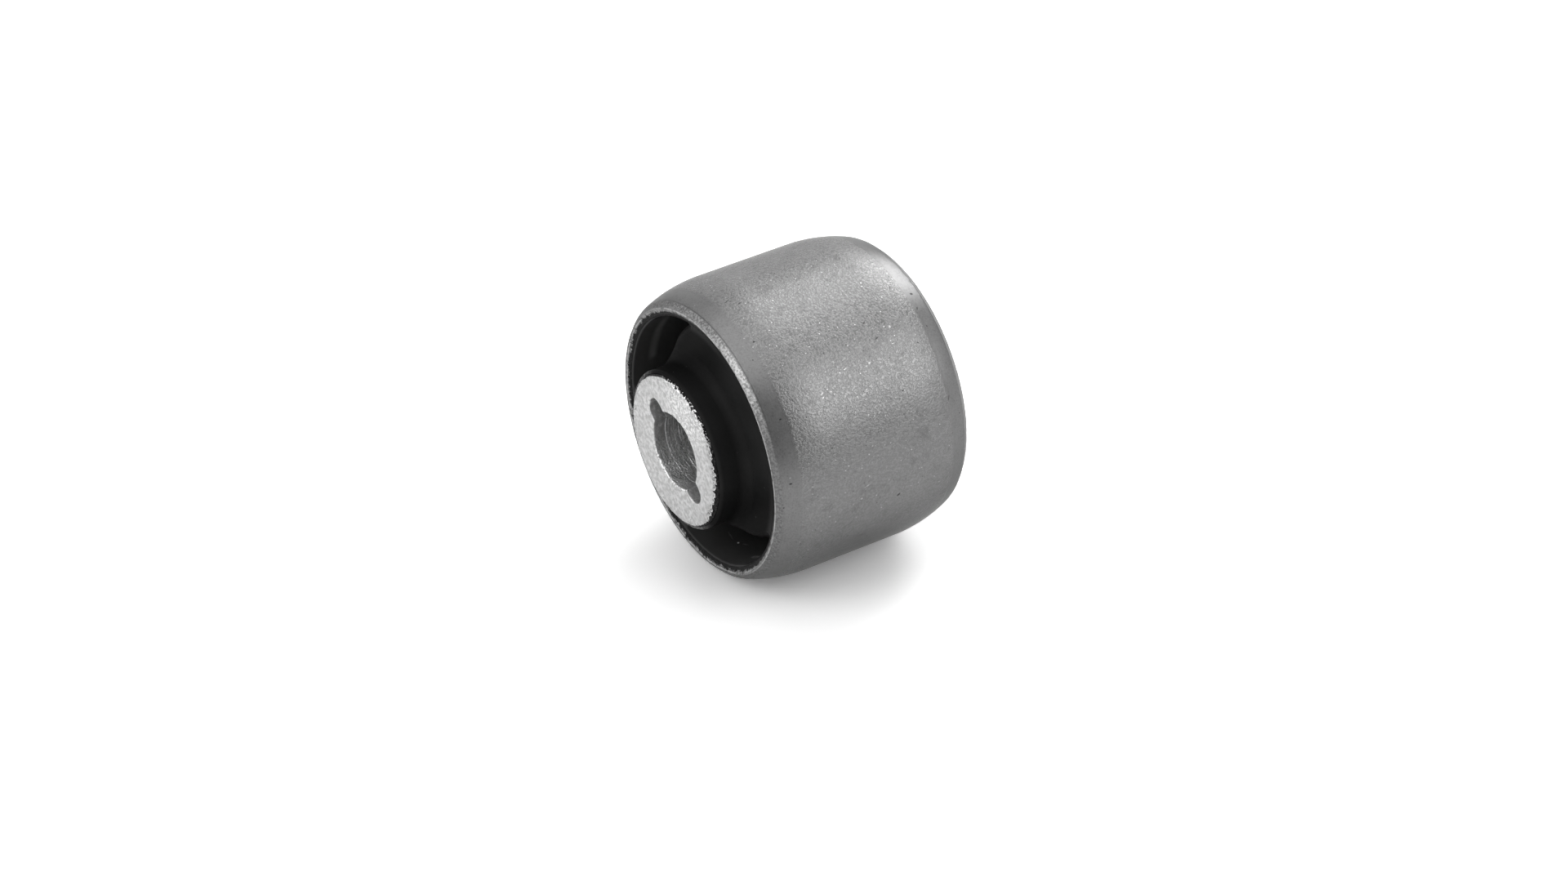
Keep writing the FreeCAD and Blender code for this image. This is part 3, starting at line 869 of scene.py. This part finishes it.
def table_white():
    """White sheet that glows a little towards the object and is seen through from below."""
    material, nodes = new_material("table")
    seen = seen_by(nodes, "Is Camera Ray")
    lit = nodes.add("ShaderNodeBsdfDiffuse")
    nodes.put(lit.inputs["Color"], nodes.grey(nodes.mix(seen, TABLE_WHITE, TABLE_WHITE_SEEN)))
    glow = nodes.add("ShaderNodeEmission")
    nodes.put(glow.inputs["Strength"], nodes.mix(seen, TABLE_GLOW, 0.0))
    glowing = nodes.add("ShaderNodeAddShader")
    nodes.put(glowing.inputs[0], lit.outputs[0])
    nodes.put(glowing.inputs[1], glow.outputs[0])
    side = nodes.add("ShaderNodeMixShader")
    nodes.put(side.inputs[0], nodes.add("ShaderNodeNewGeometry").outputs["Backfacing"])
    nodes.put(side.inputs[1], glowing.outputs[0])
    nodes.put(side.inputs[2], nodes.add("ShaderNodeBsdfTransparent").outputs[0])
    nodes.put(nodes.tree.nodes["Material Output"].inputs["Surface"], side.outputs[0])
    return material


def make_table():
    """The table under the barrel, as the bush lies on its side in the photo."""
    mesh = bpy.data.meshes.new("table")
    corners = [(-1, -1, 0), (1, -1, 0), (1, 1, 0), (-1, 1, 0)]
    mesh.from_pydata([Vector(corner) * TABLE_HALF for corner in corners], [], [(0, 1, 2, 3)])
    mesh.materials.append(table_white())
    table = bpy.data.objects.new("table", mesh)
    bpy.context.scene.collection.objects.link(table)
    table.matrix_world = (Matrix.Translation(CENTRE - studio(0, 0, OUTER_RADIUS))
                          @ facing(studio(0, 0, 1), UP))


def add_softbox(name, direction, distance, size, radiance):
    light = bpy.data.lights.new(name, "AREA")
    light.shape = "RECTANGLE"
    light.size, light.size_y = size
    light.energy = radiance * math.pi * size[0] * size[1]
    softbox = bpy.data.objects.new(name, light)
    bpy.context.scene.collection.objects.link(softbox)
    direction = studio(*direction)
    nearly_up = studio(0.01, 0.02, 1)
    softbox.matrix_world = (Matrix.Translation(CENTRE + direction.normalized() * distance)
                            @ facing(direction, nearly_up))
    softbox.visible_camera = False


def add_camera():
    back = Vector((0, -math.cos(CAMERA_ELEVATION), math.sin(CAMERA_ELEVATION)))
    level = Vector((0, math.sin(CAMERA_ELEVATION), math.cos(CAMERA_ELEVATION)))
    right = Vector((math.cos(CAMERA_ROLL), 0, 0)) + level * math.sin(CAMERA_ROLL)
    above = back.cross(right)
    camera = bpy.data.objects.new("camera", bpy.data.cameras.new("camera"))
    bpy.context.scene.collection.objects.link(camera)
    camera.data.lens = CAMERA_LENS
    camera.data.clip_start = CAMERA_CLIP
    place = CENTRE + back * CAMERA_DISTANCE - right * BUSH_RIGHT - above * BUSH_ABOVE
    camera.matrix_world = Matrix.Translation(place) @ facing(back, above)
    bpy.context.scene.camera = camera


make_outer_sleeve(barrel_steel())
make_inner_sleeve(tube_steel())
make_moulding(moulded_rubber())

make_world()
make_table()
for softbox in SOFTBOXES:
    add_softbox(*softbox)
add_camera()
bpy.context.scene.view_settings.view_transform = "Standard"
